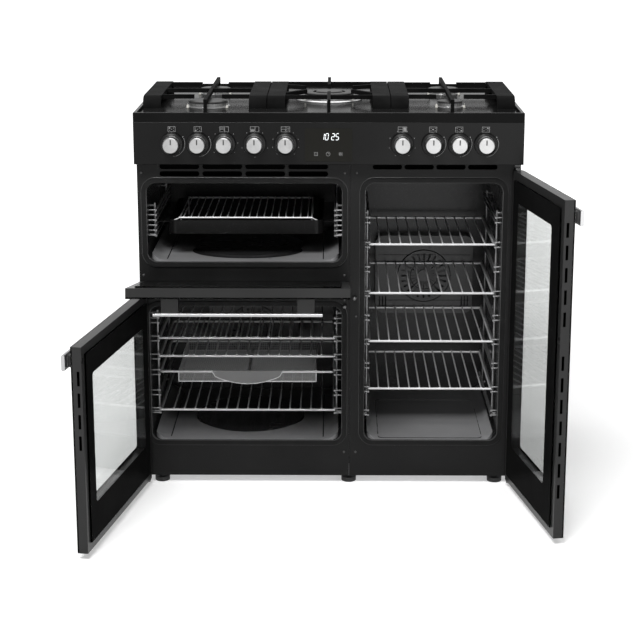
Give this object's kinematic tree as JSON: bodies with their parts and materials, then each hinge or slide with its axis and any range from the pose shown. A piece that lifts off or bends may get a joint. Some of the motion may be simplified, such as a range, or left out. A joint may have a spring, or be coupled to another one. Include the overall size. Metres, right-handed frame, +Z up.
{
  "type": "range cooker with double oven",
  "caption": "Freestanding range cooker with a gas hob, a grill oven over a main oven, and a tall oven beside them, with three handled glass doors.",
  "frame": {"origin": "centre of the base pan's underside", "axes": "+Z up, +X to the viewer's right, -Y towards the viewer at the cooker's front"},
  "size_m": [1.1215, 1.0641, 0.931],
  "materials": {
    "carcass_steel": "satin black enamelled steel",
    "front_frame": "satin black enamel",
    "hob_enamel": "gloss black enamel",
    "fascia": "satin black enamel with white printed marks",
    "display_glass": "smoked clock window",
    "burner_aluminium": "cast, satin",
    "burner_cap_enamel": "matt black enamel",
    "cast_iron": "matt black",
    "spindle_brass": "turned",
    "knob": "silver face on a black skirt",
    "tap_brass": "cast and turned",
    "switch_plastic": "moulded",
    "oven_enamel": "gloss black vitreous enamel",
    "seal_rubber": "matt silicone",
    "shelf_chrome": "bright plated wire",
    "fan_steel": "plain sheet",
    "element_steel": "dark oxidised tube",
    "door_frame": "satin black enamel",
    "door_glass": "black glass with clear windows",
    "handle_metal": "satin bar on black brackets",
    "bracket_steel": "plated steel",
    "foot_rubber": "black plastic pad on a steel stud"
  },
  "bodies": {
    "cooker": {"base_frame": "carcass_steel", "side_panels": "carcass_steel", "back_panel": "carcass_steel", "front_frames": "front_frame", "hob_tray": "hob_enamel", "burner_heads": "burner_aluminium", "burner_caps": "burner_cap_enamel", "control_panel": "fascia", "clock_display": "display_glass", "gas_taps": "tap_brass", "oven_switches": "switch_plastic", "upper_oven_liner": "oven_enamel", "main_oven_liner": "oven_enamel", "tall_oven_liner": "oven_enamel", "door_seals": "seal_rubber", "shelf_ladders": "shelf_chrome", "fan_covers": "oven_enamel", "fan_motors": "fan_steel", "heating_elements": "element_steel", "hinge_brackets_and_catches": "bracket_steel", "terminal_box": "carcass_steel"},
    "main_door": {"main_door_frame": "door_frame", "main_door_glass": "door_glass", "main_door_handle": "handle_metal"},
    "tall_door": {"tall_door_frame": "door_frame", "tall_door_glass": "door_glass", "tall_door_handle": "handle_metal"},
    "grill_door": {"grill_door_frame": "door_frame", "grill_door_glass": "door_glass", "grill_door_handle": "handle_metal"},
    "tap_rear_left": {"gas_spindle_rear_left": "spindle_brass"},
    "knob_rear_left": {"gas_knob_rear_left": "knob"},
    "tap_front_left": {"gas_spindle_front_left": "spindle_brass"},
    "knob_front_left": {"gas_knob_front_left": "knob"},
    "tap_wok": {"gas_spindle_wok": "spindle_brass"},
    "knob_wok": {"gas_knob_wok": "knob"},
    "tap_front_right": {"gas_spindle_front_right": "spindle_brass"},
    "knob_front_right": {"gas_knob_front_right": "knob"},
    "tap_rear_right": {"gas_spindle_rear_right": "spindle_brass"},
    "knob_rear_right": {"gas_knob_rear_right": "knob"},
    "knob_grill": {"oven_knob_grill": "knob"},
    "knob_main_oven": {"oven_knob_main_oven": "knob"},
    "knob_function": {"oven_knob_function": "knob"},
    "knob_tall_oven": {"oven_knob_tall_oven": "knob"},
    "tall_shelf_1": {"tall_shelf_1": "shelf_chrome"},
    "tall_shelf_2": {"tall_shelf_2": "shelf_chrome"},
    "tall_shelf_3": {"tall_shelf_3": "shelf_chrome"},
    "tall_shelf_4": {"tall_shelf_4": "shelf_chrome"},
    "main_shelf_1": {"main_shelf_1": "shelf_chrome"},
    "main_shelf_2": {"main_shelf_2": "shelf_chrome"},
    "main_shelf_3": {"main_shelf_3": "shelf_chrome"},
    "crisper_basket": {"crisper_basket": "shelf_chrome"},
    "grill_pan": {"grill_pan": "oven_enamel", "grill_trivet": "shelf_chrome"},
    "pan_support_left": {"pan_support_left": "cast_iron"},
    "pan_support_centre": {"pan_support_centre": "cast_iron"},
    "pan_support_right": {"pan_support_right": "cast_iron"},
    "main_fan": {"main_fan": "fan_steel"},
    "tall_fan": {"tall_fan": "fan_steel"},
    "feet": {"levelling_feet": "foot_rubber"}
  },
  "joints": [
    {"name": "main_door_hinge", "type": "hinge", "parent": "cooker", "child": "main_door", "pos_m": [-0.44, -0.282, 0], "axis": [0, 0, -1], "range_deg": [-100, 0]},
    {"name": "tall_door_hinge", "type": "hinge", "parent": "cooker", "child": "tall_door", "pos_m": [0.44, -0.282, 0], "axis": [0, 0, 1], "range_deg": [-100, 0]},
    {"name": "grill_door_hinge", "type": "hinge", "parent": "cooker", "child": "grill_door", "pos_m": [0, -0.283, 0.478], "axis": [1, 0, 0], "range_deg": [-80, 0]},
    {"name": "push_rear_left", "type": "slide", "parent": "cooker", "child": "tap_rear_left", "axis": [0, 1, 0], "range_m": [0, 0.004], "stiffness_N_per_m": 600},
    {"name": "turn_rear_left", "type": "hinge", "parent": "tap_rear_left", "child": "knob_rear_left", "pos_m": [-0.361, -0.3, 0.8185], "axis": [0, -1, 0], "range_deg": [0, 210]},
    {"name": "push_front_left", "type": "slide", "parent": "cooker", "child": "tap_front_left", "axis": [0, 1, 0], "range_m": [0, 0.004], "stiffness_N_per_m": 600},
    {"name": "turn_front_left", "type": "hinge", "parent": "tap_front_left", "child": "knob_front_left", "pos_m": [-0.301, -0.3, 0.8185], "axis": [0, -1, 0], "range_deg": [0, 210]},
    {"name": "push_wok", "type": "slide", "parent": "cooker", "child": "tap_wok", "axis": [0, 1, 0], "range_m": [0, 0.004], "stiffness_N_per_m": 600},
    {"name": "turn_wok", "type": "hinge", "parent": "tap_wok", "child": "knob_wok", "pos_m": [0.24, -0.3, 0.8185], "axis": [0, -1, 0], "range_deg": [0, 210]},
    {"name": "push_front_right", "type": "slide", "parent": "cooker", "child": "tap_front_right", "axis": [0, 1, 0], "range_m": [0, 0.004], "stiffness_N_per_m": 600},
    {"name": "turn_front_right", "type": "hinge", "parent": "tap_front_right", "child": "knob_front_right", "pos_m": [0.3, -0.3, 0.8185], "axis": [0, -1, 0], "range_deg": [0, 210]},
    {"name": "push_rear_right", "type": "slide", "parent": "cooker", "child": "tap_rear_right", "axis": [0, 1, 0], "range_m": [0, 0.004], "stiffness_N_per_m": 600},
    {"name": "turn_rear_right", "type": "hinge", "parent": "tap_rear_right", "child": "knob_rear_right", "pos_m": [0.361, -0.3, 0.8185], "axis": [0, -1, 0], "range_deg": [0, 210]},
    {"name": "turn_grill", "type": "hinge", "parent": "cooker", "child": "knob_grill", "pos_m": [-0.24, -0.3, 0.8185], "axis": [0, 1, 0], "range_deg": [0, 270]},
    {"name": "turn_main_oven", "type": "hinge", "parent": "cooker", "child": "knob_main_oven", "pos_m": [-0.17, -0.3, 0.8185], "axis": [0, 1, 0], "range_deg": [0, 270]},
    {"name": "turn_function", "type": "hinge", "parent": "cooker", "child": "knob_function", "pos_m": [-0.099, -0.3, 0.8185], "axis": [0, 1, 0], "range_deg": [0, 270]},
    {"name": "turn_tall_oven", "type": "hinge", "parent": "cooker", "child": "knob_tall_oven", "pos_m": [0.1695, -0.3, 0.8185], "axis": [0, 1, 0], "range_deg": [0, 270]},
    {"name": "tall_shelf_1_slide", "type": "slide", "parent": "cooker", "child": "tall_shelf_1", "axis": [0, -1, 0], "range_m": [0, 0.3]},
    {"name": "tall_shelf_2_slide", "type": "slide", "parent": "cooker", "child": "tall_shelf_2", "axis": [0, -1, 0], "range_m": [0, 0.3]},
    {"name": "tall_shelf_3_slide", "type": "slide", "parent": "cooker", "child": "tall_shelf_3", "axis": [0, -1, 0], "range_m": [0, 0.3]},
    {"name": "tall_shelf_4_slide", "type": "slide", "parent": "cooker", "child": "tall_shelf_4", "axis": [0, -1, 0], "range_m": [0, 0.3]},
    {"name": "main_shelf_1_slide", "type": "slide", "parent": "cooker", "child": "main_shelf_1", "axis": [0, -1, 0], "range_m": [0, 0.3]},
    {"name": "main_shelf_2_slide", "type": "slide", "parent": "cooker", "child": "main_shelf_2", "axis": [0, -1, 0], "range_m": [0, 0.3]},
    {"name": "main_shelf_3_slide", "type": "slide", "parent": "cooker", "child": "main_shelf_3", "axis": [0, -1, 0], "range_m": [0, 0.3]},
    {"name": "crisper_basket_slide", "type": "slide", "parent": "cooker", "child": "crisper_basket", "axis": [0, -1, 0], "range_m": [0, 0.25]},
    {"name": "grill_pan_slide", "type": "slide", "parent": "cooker", "child": "grill_pan", "axis": [0, -1, 0], "range_m": [0, 0.25]},
    {"name": "pan_support_left_lift", "type": "slide", "parent": "cooker", "child": "pan_support_left", "axis": [0, 0, 1], "range_m": [0, 0.1]},
    {"name": "pan_support_centre_lift", "type": "slide", "parent": "cooker", "child": "pan_support_centre", "axis": [0, 0, 1], "range_m": [0, 0.1]},
    {"name": "pan_support_right_lift", "type": "slide", "parent": "cooker", "child": "pan_support_right", "axis": [0, 0, 1], "range_m": [0, 0.1]},
    {"name": "main_fan_spin", "type": "hinge", "parent": "cooker", "child": "main_fan", "pos_m": [-0.1975, 0.16, 0.262], "axis": [0, 1, 0], "continuous": true},
    {"name": "tall_fan_spin", "type": "hinge", "parent": "cooker", "child": "tall_fan", "pos_m": [0.247, 0.16, 0.41], "axis": [0, 1, 0], "continuous": true},
    {"name": "feet_adjust", "type": "slide", "parent": "cooker", "child": "feet", "axis": [0, 0, -1], "range_m": [0, 0.02]}
  ]
}
